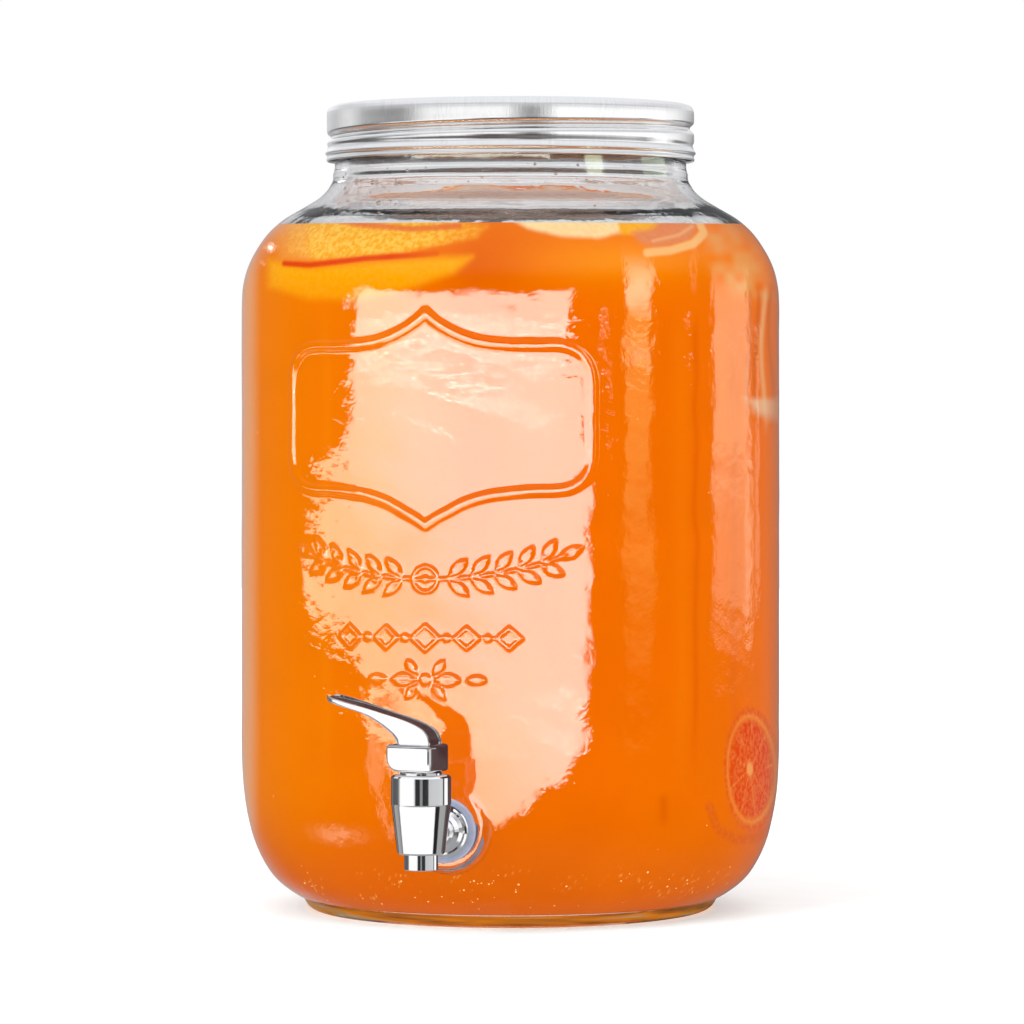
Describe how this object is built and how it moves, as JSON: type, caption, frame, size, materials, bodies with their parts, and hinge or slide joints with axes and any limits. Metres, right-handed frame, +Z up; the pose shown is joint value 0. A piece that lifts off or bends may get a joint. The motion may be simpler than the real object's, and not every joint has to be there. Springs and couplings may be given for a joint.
{
  "type": "glass dispenser jar with screw lid and lever tap",
  "caption": "Wide cylindrical glass jar with a screw lid, a raised label frame on the front and a chromed push-lever tap near the base, for dispensing a liquid.",
  "frame": {"origin": "centre of the jar's base ring, on the surface it stands on", "axes": "+Z up along the jar's axis, -Y towards the tap, +X to the right of someone facing the tap"},
  "size_m": [0.22, 0.2675, 0.3284],
  "materials": {
    "jar_glass": "clear moulded soda glass with slight waviness",
    "lid_tin": "satin tinplate with fine streaks",
    "lid_liner": "smooth off-white sealing compound",
    "clear_silicone": "translucent grey-blue silicone",
    "white_plastic": "moulded, slightly satin",
    "tap_chrome": "bright plated",
    "collar_chrome": "bright plated",
    "lever_chrome": "bright plated",
    "black_rubber": "smooth",
    "spring_steel": "drawn stainless wire"
  },
  "bodies": {
    "jar": {"glass_jar": "jar_glass", "outer_gasket": "clear_silicone", "inner_gasket": "clear_silicone", "backing_washer": "white_plastic", "lock_nut": "white_plastic", "tap_body": "tap_chrome", "spout_nozzle": "tap_chrome", "bonnet": "white_plastic", "stem_seal_ring": "black_rubber", "return_spring": "spring_steel"},
    "lid_seal": {"lid_gasket": "lid_liner"},
    "lid": {"lid_shell": "lid_tin"},
    "tap_swivel_collar": {"swivel_collar": "collar_chrome"},
    "stem": {"valve_stem": "white_plastic", "valve_plug": "clear_silicone", "lever_pin": "spring_steel"},
    "lever": {"lever": "lever_chrome"}
  },
  "joints": [
    {"name": "lid_rise", "type": "slide", "parent": "jar", "child": "lid_seal", "axis": [0, 0, 1], "range_m": [0, 0.0241]},
    {"name": "lid_unscrew", "type": "hinge", "parent": "lid_seal", "child": "lid", "pos_m": [0, 0, 0.315], "axis": [0, 0, 1], "range_deg": [0, 1080]},
    {"name": "tap_swivel", "type": "hinge", "parent": "jar", "child": "tap_swivel_collar", "pos_m": [0, -0.146, 0.065], "axis": [0, 0, 1], "range_deg": [-40, 245]},
    {"name": "stem_lift", "type": "slide", "parent": "tap_swivel_collar", "child": "stem", "axis": [0, 0, 1], "range_m": [0, 0.0024], "deforming": ["return_spring"]},
    {"name": "lever_press", "type": "hinge", "parent": "stem", "child": "lever", "pos_m": [0, -0.146, 0.072], "axis": [-0.2198, -0.9755, 0], "range_deg": [0, 25]}
  ],
  "couplings": [
    {"joint": "lid_rise", "follows": "lid_unscrew", "m_per_rad": 0.0012732},
    {"joint": "lever_press", "follows": "stem_lift", "rad_per_m": 178.57}
  ]
}
